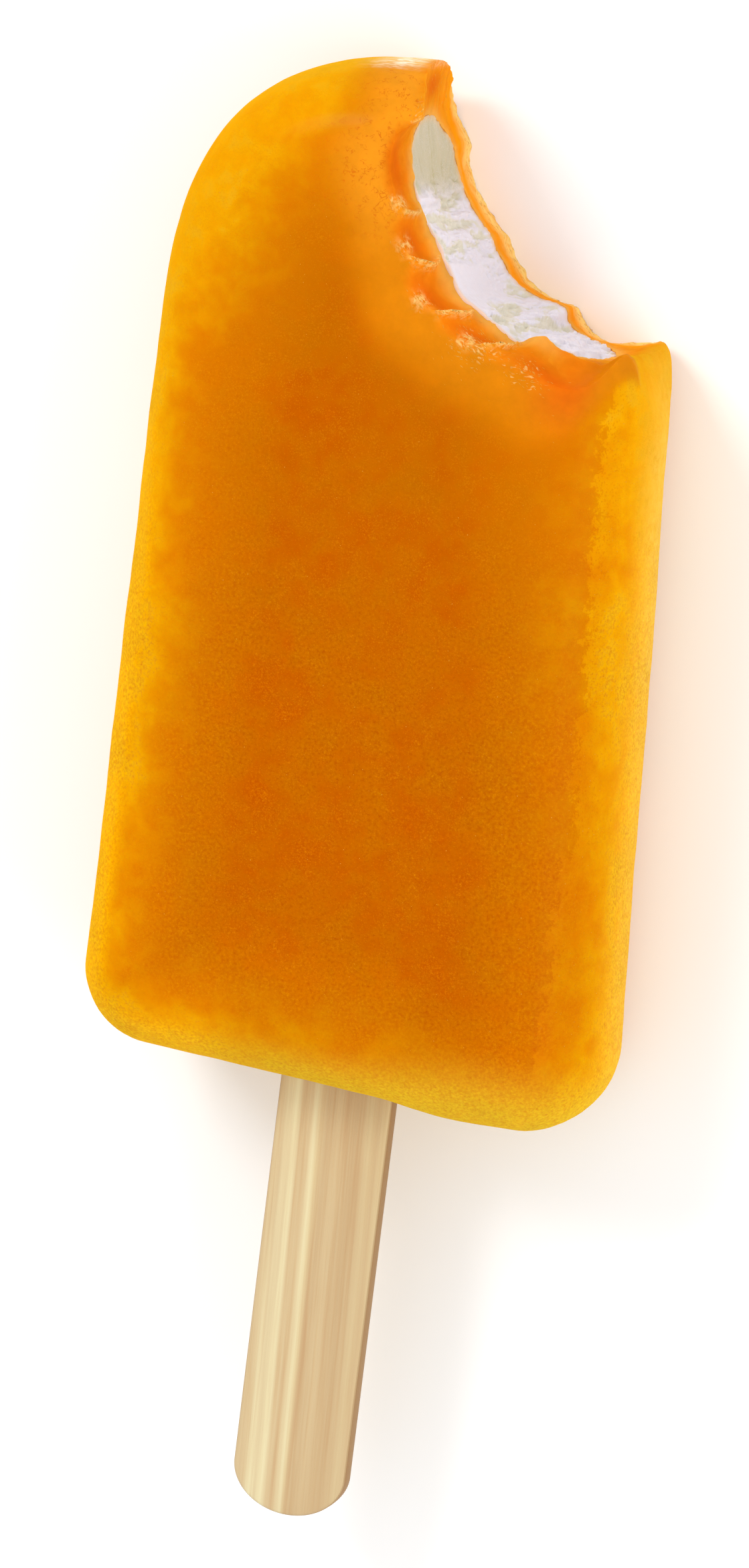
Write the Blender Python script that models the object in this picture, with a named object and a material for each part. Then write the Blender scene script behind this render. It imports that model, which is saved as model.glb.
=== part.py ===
# Ice lolly: a shell of fruit ice round an ice-cream core, on a flat wooden stick.
# It lies on its back face with the front up (+Z), the tip towards +Y and the stick towards -Y.
# A bite is missing from the shoulder at +X, +Y, and shows the core through both cut walls.
# Lengths are in metres. The origin is the bottom centre of the whole lolly's bounding box.

import math

import bmesh
import bpy
from mathutils import Vector, noise

MM = 0.001

# Body, as its outline looks from the front. Heights are measured from the middle of its foot.
BODY_LENGTH = 94.3 * MM
FOOT_HALF_WIDTH = 25.1 * MM
SHOULDER_HALF_WIDTH = 23.3 * MM
ARCH_HEIGHT = 28.4 * MM
ARCH_POWER = 2.7
FOOT_SLANT = 0.073
LEFT_CORNER = 7.3 * MM
TIGHTEST_CORNER = 1.0 * MM
CORNER_SHRINK = 0.6
RIGHT_CORNER = 6.8 * MM

# Body, as its cross-section looks from the foot
BODY_THICKNESS = 24.0 * MM
EDGE_ROLL = 8.0 * MM
EDGE_POWER = 2.5

# Core inside it
WALL = 5.0 * MM
CORE_THICKNESS = 15.0 * MM
CORE_ROLL = 7.0 * MM
GAP = 0.3 * MM

# Stick: it is pushed in a little crooked
STICK_LENGTH = 114.0 * MM
STICK_SHOWN = 41.7 * MM
STICK_WIDTH = 11.0 * MM
STICK_THICKNESS = 2.2 * MM
STICK_END = 4.4 * MM
STICK_SOFT_EDGE = 0.4 * MM
STICK_TURN = math.radians(-1.55)
STICK_SIDESTEP = -0.5 * MM

# Bite: the tooth marks meet at these points (X, height above the foot), from the tip to the side
TOOTH_MEETS = [
    (-1.4 * MM, 99.4 * MM),
    (-1.9 * MM, 93.4 * MM),
    (0.0 * MM, 86.6 * MM),
    (4.6 * MM, 78.6 * MM),
    (7.2 * MM, 74.9 * MM),
    (12.4 * MM, 72.4 * MM),
    (20.4 * MM, 70.6 * MM),
    (27.4 * MM, 66.6 * MM),
]
TOOTH_SAG = 0.14
TOOTH_LEAN = 0.72
BITE_MIDDLE = Vector((22.0 * MM, 90.5 * MM))
BITE_MARGIN = 15.0 * MM
BITE_SPILL = 2.0 * MM
FRONT_LIP = 3.0 * MM
BACK_LIP = 1.3 * MM
CRAG_DEPTH = 0.45 * MM
CRAG_SIZE = 2.6 * MM
CRAG_SEED = 41.0

# Facets
ARCH_STEPS = 44
CORNER_STEPS = 8
EDGE_STEPS = 7
TOOTH_STEPS = 7
BITE_LAYERS = 20
STICK_END_STEPS = 24
STICK_EDGE_STEPS = 3
SHARP_ANGLE = math.radians(40)

FOOT_Y = STICK_SHOWN - (BODY_LENGTH + STICK_SHOWN) / 2
MIDDLE_Z = BODY_THICKNESS / 2

FRUIT_ICE_COLOUR = (0.80, 0.28, 0.01, 1.0)
ICE_CREAM_COLOUR = (0.80, 0.72, 0.62, 1.0)
WOOD_COLOUR = (0.72, 0.52, 0.31, 1.0)


def clear_scene():
    for old in list(bpy.data.objects):
        bpy.data.objects.remove(old, do_unlink=True)


def make_material(name, colour, roughness):
    material = bpy.data.materials.new(name)
    material.use_nodes = True
    shader = material.node_tree.nodes["Principled BSDF"]
    shader.inputs["Base Color"].default_value = colour
    shader.inputs["Roughness"].default_value = roughness
    shader.inputs["Metallic"].default_value = 0.0
    return material


def make_object(name, bm, material=None):
    bmesh.ops.recalc_face_normals(bm, faces=bm.faces)
    mesh = bpy.data.meshes.new(name)
    bm.to_mesh(mesh)
    bm.free()
    mesh.shade_smooth()
    mesh.set_sharp_from_angle(angle=SHARP_ANGLE)
    if material:
        mesh.materials.append(material)
    made = bpy.data.objects.new(name, mesh)
    bpy.context.scene.collection.objects.link(made)
    return made


def make_cutter(name, bm):
    cutter = make_object(name, bm)
    cutter.hide_render = True
    cutter.display_type = "WIRE"
    return cutter


def cut(target, cutter):
    modifier = target.modifiers.new("Cut " + cutter.name, "BOOLEAN")
    modifier.operation = "DIFFERENCE"
    modifier.solver = "EXACT"
    modifier.object = cutter


def stack_loops(bm, loops):
    """Joins closed loops of equal length into one skin and closes both ends."""
    rings = [[bm.verts.new(point) for point in loop] for loop in loops]
    for lower, upper in zip(rings, rings[1:]):
        for i in range(len(lower)):
            j = (i + 1) % len(lower)
            bm.faces.new((lower[i], lower[j], upper[j], upper[i]))
    bm.faces.new(list(reversed(rings[0])))
    bm.faces.new(rings[-1])


def rounded_corner(corner, before, after, radius):
    """An arc that rounds the corner between the points before and after it."""
    inward = (before - corner).normalized()
    outward = (after - corner).normalized()
    half_angle = inward.angle(outward) / 2
    centre = corner + (inward + outward).normalized() * radius / math.sin(half_angle)
    start = corner + inward * radius / math.tan(half_angle) - centre
    end = corner + outward * radius / math.tan(half_angle) - centre
    sweep = start.angle_signed(end)
    arc = []
    for step in range(CORNER_STEPS + 1):
        angle = -sweep * step / CORNER_STEPS
        turned = Vector((
            start.x * math.cos(angle) - start.y * math.sin(angle),
            start.x * math.sin(angle) + start.y * math.cos(angle),
        ))
        arc.append(centre + turned)
    return arc


def body_outline(inset):
    """The body's outline from the front, drawn in by inset, from the foot's right corner to its left."""
    foot = FOOT_HALF_WIDTH - inset
    shoulder = SHOULDER_HALF_WIDTH - inset
    arch = ARCH_HEIGHT - inset
    spring = BODY_LENGTH - ARCH_HEIGHT
    foot_left = Vector((-foot, inset + FOOT_SLANT * foot))
    foot_right = Vector((foot, inset - FOOT_SLANT * foot))
    side_left = Vector((-shoulder, spring))
    side_right = Vector((shoulder, spring))
    radius_left = max(LEFT_CORNER - CORNER_SHRINK * inset, TIGHTEST_CORNER)
    radius_right = max(RIGHT_CORNER - CORNER_SHRINK * inset, TIGHTEST_CORNER)
    outline = rounded_corner(foot_right, foot_left, side_right, radius_right)
    for step in range(ARCH_STEPS + 1):
        angle = math.pi * step / ARCH_STEPS
        across = math.copysign(abs(math.cos(angle)) ** (2 / ARCH_POWER), math.cos(angle))
        along = abs(math.sin(angle)) ** (2 / ARCH_POWER)
        outline.append(Vector((shoulder * across, spring + arch * along)))
    return outline + rounded_corner(foot_left, side_left, foot_right, radius_left)


def slab(wall, thickness, roll):
    """A slab of the body's outline, wall inside it, whose faces roll over into its sides."""
    loops = []
    for step in range(-EDGE_STEPS, EDGE_STEPS + 1):
        angle = math.pi / 2 * step / EDGE_STEPS
        inset = wall + roll * (1 - math.cos(angle) ** (2 / EDGE_POWER))
        rise = math.copysign(abs(math.sin(angle)) ** (2 / EDGE_POWER), angle)
        z = MIDDLE_Z + thickness / 2 * rise
        loops.append([Vector((p.x, FOOT_Y + p.y, z)) for p in body_outline(inset)])
    bm = bmesh.new()
    stack_loops(bm, loops)
    return bm


def tooth_line():
    """The bite's line from the front: a shallow arc, steeper at its upper end, for each tooth mark."""
    points = [Vector(TOOTH_MEETS[0])]
    for start, end in zip(TOOTH_MEETS, TOOTH_MEETS[1:]):
        start, end = Vector(start), Vector(end)
        middle = (start + end) / 2
        sag = (middle - BITE_MIDDLE).normalized() * (end - start).length * TOOTH_SAG
        for step in range(1, TOOTH_STEPS + 1):
            t = step / TOOTH_STEPS
            leaning = t ** TOOTH_LEAN
            points.append(start.lerp(end, t) + sag * 4 * leaning * (1 - leaning))
    return points


def lip(z):
    """How far the bite opens out at height z, where its front and back rims are rounded over."""
    above = (z - (BODY_THICKNESS - FRONT_LIP)) / FRONT_LIP
    below = (BACK_LIP - z) / BACK_LIP
    opening = 0.0
    for share, radius in ((above, FRONT_LIP), (below, BACK_LIP)):
        share = min(max(share, 0.0), 1.0)
        opening += radius * (1 - math.sqrt(1 - share * share))
    return opening


def bite():
    """The bitten-off volume: the tooth line carried through the thickness, with crags torn in it."""
    corner_x = FOOT_HALF_WIDTH + BITE_MARGIN
    corner_y = FOOT_Y + BODY_LENGTH + BITE_MARGIN
    loops = []
    for layer in range(BITE_LAYERS + 1):
        z = -BITE_SPILL + (BODY_THICKNESS + 2 * BITE_SPILL) * layer / BITE_LAYERS
        loop = []
        for point in tooth_line():
            away = (point - BITE_MIDDLE).normalized()
            place = Vector((point.x, point.y, z)) / CRAG_SIZE + Vector((CRAG_SEED, 0, 0))
            depth = lip(z) + CRAG_DEPTH * noise.noise(place)
            torn = point + away * depth
            loop.append(Vector((torn.x, FOOT_Y + torn.y, z)))
        loop.append(Vector((corner_x, loop[-1].y, z)))
        loop.append(Vector((corner_x, corner_y, z)))
        loop.append(Vector((loop[0].x, corner_y, z)))
        loops.append(loop)
    bm = bmesh.new()
    stack_loops(bm, loops)
    return bm


def stick_outline(inset):
    """The stick's outline, drawn in by inset: straight sides between half-elliptic ends."""
    across = STICK_WIDTH / 2 - inset
    along = STICK_END - inset
    outline = []
    for side, end in ((1, STICK_LENGTH - STICK_SHOWN), (-1, -STICK_SHOWN)):
        for step in range(STICK_END_STEPS + 1):
            angle = math.pi * step / STICK_END_STEPS
            y = end + side * (along * math.sin(angle) - STICK_END)
            outline.append(Vector((side * across * math.cos(angle), y)))
    return outline


def stick(grow):
    """The flat stick with its edges rounded over, grown on all sides by grow."""
    profile = []
    for step in range(STICK_EDGE_STEPS + 1):
        angle = math.pi / 2 * step / STICK_EDGE_STEPS
        height = STICK_THICKNESS / 2 + grow - STICK_SOFT_EDGE * (1 - math.sin(angle))
        profile.append((height, STICK_SOFT_EDGE * (1 - math.cos(angle)) - grow))
    underside = [(-height, inset) for height, inset in reversed(profile)]
    loops = []
    for height, inset in underside + profile:
        loops.append([Vector((p.x, p.y, height)) for p in stick_outline(inset)])
    bm = bmesh.new()
    stack_loops(bm, loops)
    return bm


def place_stick(made):
    made.location = (STICK_SIDESTEP, FOOT_Y, MIDDLE_Z)
    made.rotation_euler = (0, 0, STICK_TURN)


def build():
    clear_scene()
    bite_cutter = make_cutter("bite_volume", bite())
    slot_cutter = make_cutter("stick_slot", stick(GAP))
    place_stick(slot_cutter)
    cavity_cutter = make_cutter("core_cavity", slab(WALL - GAP, CORE_THICKNESS + 2 * GAP, CORE_ROLL))

    fruit_ice = make_material("fruit_ice", FRUIT_ICE_COLOUR, 0.35)
    shell = make_object("fruit_ice_shell", slab(0.0, BODY_THICKNESS, EDGE_ROLL), fruit_ice)
    for cutter in (cavity_cutter, bite_cutter, slot_cutter):
        cut(shell, cutter)

    ice_cream = make_material("ice_cream", ICE_CREAM_COLOUR, 0.55)
    core = make_object("ice_cream_core", slab(WALL, CORE_THICKNESS, CORE_ROLL), ice_cream)
    for cutter in (bite_cutter, slot_cutter):
        cut(core, cutter)

    wood = make_material("wood", WOOD_COLOUR, 0.6)
    place_stick(make_object("wooden_stick", stick(0.0), wood))


build()
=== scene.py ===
import math

import bmesh
import bpy
import numpy as np
from mathutils import Matrix, Vector, geometry, kdtree, noise


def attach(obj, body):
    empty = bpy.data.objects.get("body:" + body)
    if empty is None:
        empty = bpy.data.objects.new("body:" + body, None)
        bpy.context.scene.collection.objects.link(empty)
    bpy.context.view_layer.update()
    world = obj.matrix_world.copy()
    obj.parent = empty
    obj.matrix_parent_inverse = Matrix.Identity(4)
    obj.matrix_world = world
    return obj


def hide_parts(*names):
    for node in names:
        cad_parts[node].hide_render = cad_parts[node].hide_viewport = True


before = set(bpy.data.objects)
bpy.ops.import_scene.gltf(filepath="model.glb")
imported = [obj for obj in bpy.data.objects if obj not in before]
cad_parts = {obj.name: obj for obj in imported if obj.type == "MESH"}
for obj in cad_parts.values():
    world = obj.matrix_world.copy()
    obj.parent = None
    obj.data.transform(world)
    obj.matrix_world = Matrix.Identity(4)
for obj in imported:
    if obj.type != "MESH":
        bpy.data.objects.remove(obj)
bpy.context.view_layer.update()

mm = 0.001
print("frame loaded:", ", ".join(sorted(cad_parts)))


# Small helpers

def fade(value, start, end):
    # 0 at start, 1 at end, with an even slope at both
    t = np.clip((np.asarray(value, float) - start) / (end - start), 0.0, 1.0)
    return t * t * (3.0 - 2.0 * t)


def fall(value, start, end):
    return 1 - fade(value, start, end)


def hump(value, middle, width):
    return np.exp(-((np.asarray(value, float) - middle) / width) ** 2)


def noiseAt(points, size, seed):
    # smooth noise, about -1 to 1, whose lumps are size wide
    scaled = np.asarray(points, float) / size + seed
    return np.array([noise.noise(p) for p in scaled])


def lumpsAt(points, sizeAndHeight, seed):
    size, height = sizeAndHeight
    return noiseAt(points, size, seed) * height


def meshFrom(name, verts, faces):
    mesh = bpy.data.meshes.new(name)
    mesh.from_pydata([tuple(v) for v in verts], [], [tuple(f) for f in faces])
    mesh.validate()
    mesh.update()
    return mesh


def objectFrom(name, mesh):
    made = bpy.data.objects.new(name, mesh)
    bpy.context.scene.collection.objects.link(made)
    return made


def vertexPlaces(mesh):
    flat = np.empty(len(mesh.vertices) * 3)
    mesh.vertices.foreach_get("co", flat)
    return flat.reshape(-1, 3)


def setPlaces(mesh, places):
    mesh.vertices.foreach_set("co", np.asarray(places, float).ravel())
    mesh.update()


def setVectors(mesh, name, vectors):
    layer = mesh.attributes.new(name, "FLOAT_VECTOR", "POINT")
    layer.data.foreach_set("vector", np.asarray(vectors, float).ravel())


def setMask(mesh, name, values):
    layer = mesh.attributes.new(name, "FLOAT", "POINT")
    layer.data.foreach_set("value", np.clip(np.asarray(values, float), 0.0, 1.0))


def bakeMesh(made):
    # turns an object with modifiers into a plain mesh of its own
    graph = bpy.context.evaluated_depsgraph_get()
    plain = bpy.data.meshes.new_from_object(made.evaluated_get(graph), depsgraph=graph)
    made.modifiers.clear()
    made.data = plain
    return made


def turnOutward(mesh):
    # faces with many corners are cut up first
    bm = bmesh.new()
    bm.from_mesh(mesh)
    bmesh.ops.triangulate(bm, faces=[f for f in bm.faces if len(f.verts) > 4])
    bmesh.ops.recalc_face_normals(bm, faces=bm.faces)
    bm.to_mesh(mesh)
    bm.free()


def dropObject(made):
    bpy.data.objects.remove(made, do_unlink=True)


def ringSkin(rings):
    # joins rings of equal length into quads; rings are lists of vertex numbers
    faces = []
    for lower, upper in zip(rings, rings[1:]):
        count = len(lower)
        for i in range(count):
            j = (i + 1) % count
            faces.append((lower[i], lower[j], upper[j], upper[i]))
    return faces


# The body's form, all lengths in millimetres

body = {
    "length": 94.3,
    "footHalfWidth": 25.1,
    "shoulderHalfWidth": 23.3,
    "archHeight": 28.4,
    "archPower": 2.7,
    "footSlant": 0.073,
    "leftCorner": 7.3,
    "rightCorner": 6.8,
    "tightestCorner": 1.0,
    "cornerShrink": 0.6,
    "thickness": 24.0,
    "edgeRoll": 8.0,
    "edgePower": 2.5,
    "footY": -26.3,          # where the middle of the foot lies in the frame
    "middleZ": 12.0,
    "wall": 5.0,
    "coreThickness": 15.0,
    "coreRoll": 7.0,
    "coreBite": 0.06,        # how far the core is let into the shell, so no gap shows
    # mesh: the gap between points round the outline, and the steps over each rolled edge
    "shellSpacing": 0.62,
    "coreSpacing": 2.4,
    "shellRollSteps": 15,
    "cavityRollSteps": 6,
    "coreRollSteps": 8,
}


def cornerArc(corner, before, after, radius, steps):
    inward = (before - corner).normalized()
    outward = (after - corner).normalized()
    half = inward.angle(outward) / 2
    centre = corner + (inward + outward).normalized() * radius / math.sin(half)
    start = corner + inward * radius / math.tan(half) - centre
    end = corner + outward * radius / math.tan(half) - centre
    sweep = start.angle_signed(end)
    arc = []
    for step in range(steps + 1):
        turned = Matrix.Rotation(-sweep * step / steps, 2) @ start
        arc.append(centre + turned)
    return arc


def bodyOutline(inset, spacing):
    # the outline seen from the front, from the foot's right corner round to its left, evenly divided
    foot = body["footHalfWidth"] - inset
    shoulder = body["shoulderHalfWidth"] - inset
    arch = body["archHeight"] - inset
    spring = body["length"] - body["archHeight"]
    footLeft = Vector((-foot, inset + body["footSlant"] * foot))
    footRight = Vector((foot, inset - body["footSlant"] * foot))
    sideLeft = Vector((-shoulder, spring))
    sideRight = Vector((shoulder, spring))
    shrink = body["cornerShrink"] * inset
    radiusLeft = max(body["leftCorner"] - shrink, body["tightestCorner"])
    radiusRight = max(body["rightCorner"] - shrink, body["tightestCorner"])
    steps = 24
    arcRight = cornerArc(footRight, footLeft, sideRight, radiusRight, steps)
    arcLeft = cornerArc(footLeft, sideLeft, footRight, radiusLeft, steps)
    archPoints = []
    for angle in np.linspace(0.0, math.pi, 241):
        across = math.copysign(abs(math.cos(angle)) ** (2 / body["archPower"]), math.cos(angle))
        along = abs(math.sin(angle)) ** (2 / body["archPower"])
        archPoints.append(Vector((shoulder * across, spring + arch * along)))
    stretches = [
        (arcRight, round(10 / spacing)),
        ([arcRight[-1], archPoints[0]], round(56 / spacing)),
        (archPoints, round(90 / spacing)),
        ([archPoints[-1], arcLeft[0]], round(56 / spacing)),
        (arcLeft, round(10 / spacing)),
        ([arcLeft[-1], arcRight[0]], round(36 / spacing)),
    ]
    outline = []
    for points, count in stretches:
        points = np.array([tuple(p) for p in points])
        run = np.concatenate([[0.0], np.cumsum(np.linalg.norm(np.diff(points, axis=0), axis=1))])
        at = np.linspace(0.0, run[-1], count, endpoint=False)
        outline.append(np.stack([np.interp(at, run, points[:, 0]), np.interp(at, run, points[:, 1])], 1))
    return np.concatenate(outline)


def capPoints(ring, spacing):
    # triangles over the flat face inside a ring, on an even lattice
    ringNumbers = list(range(len(ring)))
    low, high = ring.min(0), ring.max(0)
    tree = kdtree.KDTree(len(ring))
    for i, p in enumerate(ring):
        tree.insert((p[0], p[1], 0.0), i)
    tree.balance()
    inside = []
    rows = np.arange(low[1], high[1], spacing * 0.866)
    for row, y in enumerate(rows):
        for x in np.arange(low[0] + (row % 2) * spacing / 2, high[0], spacing):
            if tree.find((x, y, 0.0))[2] > spacing * 0.7:
                inside.append((x, y))
    verts = [Vector(p) for p in ring] + [Vector(p) for p in inside]
    edges = [(i, (i + 1) % len(ring)) for i in ringNumbers]
    result = geometry.delaunay_2d_cdt(verts, edges, [ringNumbers], 1, 1e-5)
    return result[0], result[2], result[3]


def slabMesh(name, wall, thickness, roll, spacing, rollSteps):
    # a slab of the body's outline, wall inside it, whose faces roll over into its sides
    verts, rings = [], []
    for step in range(-rollSteps, rollSteps + 1):
        angle = math.pi / 2 * step / rollSteps
        inset = wall + roll * (1 - max(math.cos(angle), 0.0) ** (2 / body["edgePower"]))
        rise = math.copysign(abs(math.sin(angle)) ** (2 / body["edgePower"]), angle)
        z = body["middleZ"] + thickness / 2 * rise
        outline = bodyOutline(inset, spacing)
        rings.append(list(range(len(verts), len(verts) + len(outline))))
        verts += [(p[0], p[1] + body["footY"], z) for p in outline]
    faces = ringSkin(rings)
    for ring, flip in ((rings[0], True), (rings[-1], False)):
        flat = np.array([verts[i][:2] for i in ring])
        z = verts[ring[0]][2]
        places, triangles, sources = capPoints(flat, spacing * 1.15)
        numbers = []
        for place, source in zip(places, sources):
            if source and source[0] < len(ring):
                numbers.append(ring[source[0]])
            else:
                numbers.append(len(verts))
                verts.append((place[0], place[1], z))
        for triangle in triangles:
            corners = [numbers[i] for i in triangle]
            faces.append(tuple(reversed(corners)) if flip else tuple(corners))
    return meshFrom(name, np.array(verts), faces)


# The bite

# Each rim of the bite, from the tip to the side, as (degrees, radius) round the bite's middle:
# front is where the bite meets the front face, near and far are the core's two edges, back the back rim.
bite = {
    "middle": (22.0, 90.5),
    "front": [
        (160, 21.4), (172, 20.9), (176, 20.6), (180, 20.2), (182.4, 20.1), (183.8, 20.9), (185.3, 21.8),
        (187, 22.5), (190, 22.95), (195, 23.15), (199.2, 23.2), (202, 23.1), (203.4, 22.95), (205.1, 23.35),
        (208, 23.75), (210.4, 23.9), (212.6, 24.0), (215, 24.4), (217, 24.8), (219.3, 25.15), (222, 25.25),
        (224.4, 25.1), (227.3, 24.95), (230, 24.6), (232.2, 24.4), (234.3, 24.45), (236.4, 24.3),
        (239.2, 24.1), (241.7, 23.8), (247.4, 23.6), (251.9, 23.9), (255.8, 24.3), (260.8, 24.4),
        (264.5, 23.6), (267, 22.0), (268.8, 21.0), (270.2, 20.8), (271.5, 21.3), (272.6, 22.5),
        (273.6, 24.6), (274.5, 28.0), (296, 40.0),
    ],
    "near": [
        (160, 21.8), (172, 21.6), (178, 21.3), (182, 21.5), (185, 22.2), (188, 22.5), (192, 22.5),
        (197.6, 22.5), (203.9, 22.5), (208.8, 22.2), (211.4, 22.05), (214.2, 22.15), (219, 22.35),
        (224, 22.8), (226.6, 22.85), (231.3, 22.45), (236.4, 22.35), (240.5, 22.5), (243, 22.3),
        (245, 21.2), (247.2, 20.75), (249.4, 20.85), (252, 21.1), (257.6, 21.2), (263, 21.1), (265.7, 20.5),
        (267.7, 19.9), (269.2, 19.75), (270.6, 20.3), (271.8, 21.5), (273, 23.6), (274, 27.0), (296, 40.0),
    ],
    "far": [
        (160, 23.6), (172, 23.6), (178, 23.8), (184, 23.6), (188, 23.0), (191, 22.75), (195, 22.9),
        (198.8, 22.7), (202.5, 22.6), (206.4, 22.35), (209.3, 22.0), (213.4, 21.7), (216.2, 21.95),
        (219.8, 21.95), (223.8, 22.2), (227.1, 22.0), (230.8, 21.6), (234.1, 21.1), (237.7, 20.5),
        (239.8, 20.5), (241.5, 21.3), (244, 21.6), (247, 21.6), (251, 21.4), (256, 21.1), (260, 20.8),
        (263, 20.25), (265.4, 19.9), (267.2, 20.0), (268.6, 20.5), (270, 22.0), (271, 24.0), (272, 27.0),
        (296, 40.0),
    ],
    "back": [
        (160, 24.2), (172, 24.2), (177, 24.6), (180, 24.4), (184.5, 23.7), (188, 23.05), (190.3, 22.65),
        (192.6, 23.0), (195.4, 23.1), (199, 22.9), (202.9, 22.55), (207.7, 22.2), (212.1, 21.8),
        (214.6, 21.45), (216.3, 21.8), (219, 21.9), (223.4, 21.95), (225.3, 22.35), (228.7, 22.05),
        (233.1, 21.65), (235.6, 21.45), (239.1, 20.55), (241.6, 21.15), (245.6, 21.85), (248.8, 22.1),
        (252, 21.8), (255.6, 21.2), (259.5, 20.6), (263.1, 20.2), (264.5, 20.05), (266, 20.2),
        (267.5, 20.6), (269, 22.3), (270, 24.5), (271, 28.0), (296, 40.0),
    ],
    "frontZ": 12.0,          # heights of the four rims above the middle plane
    "nearZ": 7.5,
    "farZ": -7.5,
    "backZ": -12.0,
    # ridges between the tooth marks: degrees at the core, degrees at the front rim, bow between them
    "ridges": [(183.2, 182.6, 0.4), (204.0, 203.0, 1.2), (215.0, 212.0, 3.4), (228.9, 223.6, 3.8),
               (242.9, 236.2, 2.4)],
    "ridgeWidth": 0.26,
    "ridgeHeight": 0.30,
    "hollowDepth": 0.50,
    "flare": 0.85,           # how far the front rim rounds outwards
    "scoop": 0.62,           # how round the front lip is, and how much less so on a ridge
    "scoopLostOnRidge": 0.30,
    "middleBow": 0.35,
    # relief of the torn ice: lump size and height
    "lumps": (1.9, 0.13),
    "crags": (0.62, 0.065),
    "jags": (0.8, 0.12),
    "grooves": (0.5, 0.06),
    "grooveShape": (4.6, 1.1),
    "seed": 41.0,
    "cutFrom": 164.0,
    "cutTo": 292.01,
    "farCorner": (42.0, 112.0),
    # the cutters' grids: (start, end, step) through the thickness, and degrees round the bite
    "iceSteps": [(-14.0, -12.6, 0.5), (-12.6, -6.8, 0.16), (-6.8, 6.8, 0.3), (6.8, 12.6, 0.16),
                 (12.6, 14.0, 0.35)],
    "iceDegrees": 0.42,
    "creamSteps": [(-14.0, -8.4, 1.5), (-8.4, 8.4, 0.15), (8.4, 14.0, 1.5)],
    "creamDegrees": 0.4,
    "radius": 23.0,          # about, to turn degrees into millimetres along it
}


def rim(name, degrees):
    angles, radii = np.array(bite[name], float).T
    # a short running mean takes the corners off the rim
    return sum(np.interp(degrees + shift, angles, radii) for shift in (-0.5, 0.0, 0.5)) / 3


def ridgeAngle(ridge, t):
    atCore, atFront, bow = ridge
    t = np.clip(t, 0.0, 1.0)
    return atCore + (atFront - atCore) * t + bow * 4 * t * (1 - t)


def ridgeMask(degrees, t):
    # 1 on the crest of a ridge between two tooth marks
    mask = np.zeros_like(degrees)
    for ridge in bite["ridges"]:
        aside = (degrees - ridgeAngle(ridge, t)) * math.pi / 180 * bite["radius"]
        mask = np.maximum(mask, np.exp(-(aside / bite["ridgeWidth"]) ** 2))
    return mask * fade(t, -0.05, 0.25) * fall(t, 0.9, 1.2)


def hollowMask(degrees, t):
    # 1 in the deepest part of a tooth mark's hollow
    mask = np.zeros_like(degrees)
    edges = [ridgeAngle(r, t) for r in bite["ridges"]] + [np.full_like(degrees, 269.0)]
    for start, end in zip(edges, edges[1:]):
        phase = np.clip((degrees - start) / (end - start), 0.0, 1.0)
        mask = np.maximum(mask, np.sin(math.pi * phase) ** 0.8)
    return mask * np.exp(-((t - 0.62) / 0.36) ** 2)


def biteRadius(degrees, z):
    # radius of the bitten face, before its crags; z is measured from the middle plane
    front, near = rim("front", degrees), rim("near", degrees)
    far, back = rim("far", degrees), rim("back", degrees)
    t = (z - bite["nearZ"]) / (bite["frontZ"] - bite["nearZ"])
    inLip = np.clip(t, 0.0, 1.0)
    ridge = ridgeMask(degrees, t)
    hollow = hollowMask(degrees, t)
    scooped = bite["scoop"] - bite["scoopLostOnRidge"] * ridge
    rise = scooped * np.sqrt(1 - (1 - inLip) ** 2) + (1 - scooped) * inLip ** 3
    flare = bite["flare"] * (np.maximum(t - 0.6, 0.0) / 0.4) ** 2
    lip = near + (front - near) * rise + flare - bite["flare"] * 0.45 * inLip
    lip = lip + bite["hollowDepth"] * hollow - bite["ridgeHeight"] * ridge
    s = np.clip((bite["nearZ"] - z) / (bite["nearZ"] - bite["farZ"]), 0.0, 1.0)
    middle = near + (far - near) * s + bite["middleBow"] * 4 * s * (1 - s)
    u = np.clip((bite["farZ"] - z) / (bite["farZ"] - bite["backZ"]), 0.0, 1.3)
    behind = far + (back - far) * u
    return np.where(t > 0, lip, np.where(z < bite["farZ"], behind, middle))


def bitePlace(degrees, radius, z):
    angle = np.radians(degrees)
    x = bite["middle"][0] + radius * np.cos(angle)
    y = bite["middle"][1] + radius * np.sin(angle) + body["footY"]
    return np.stack([x, y, z + body["middleZ"]], -1)


def iceCrags(degrees, z, base):
    # torn fruit ice: soft lumps, fine grooves along the pull of the teeth, sharp small crags
    places = bitePlace(degrees, base, z).reshape(-1, 3)
    lumps = lumpsAt(places, bite["lumps"], bite["seed"])
    crags = lumpsAt(places, bite["crags"], bite["seed"] + 7)
    degreesLong, mmWide = bite["grooveShape"]
    along = np.stack([degrees.ravel() / degreesLong, z.ravel() / mmWide, np.zeros(degrees.size)], 1)
    grooves = lumpsAt(along, bite["grooves"], bite["seed"] + 3)
    rough = 0.6 + 0.8 * (1 - hollowMask(degrees, (z - 7.5) / 4.5).ravel())
    jagged = fade(-z.ravel(), 8.5, 11.5) * lumpsAt(places, bite["jags"], bite["seed"] + 11)
    return ((lumps + crags + grooves) * rough + jagged).reshape(degrees.shape)


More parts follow.
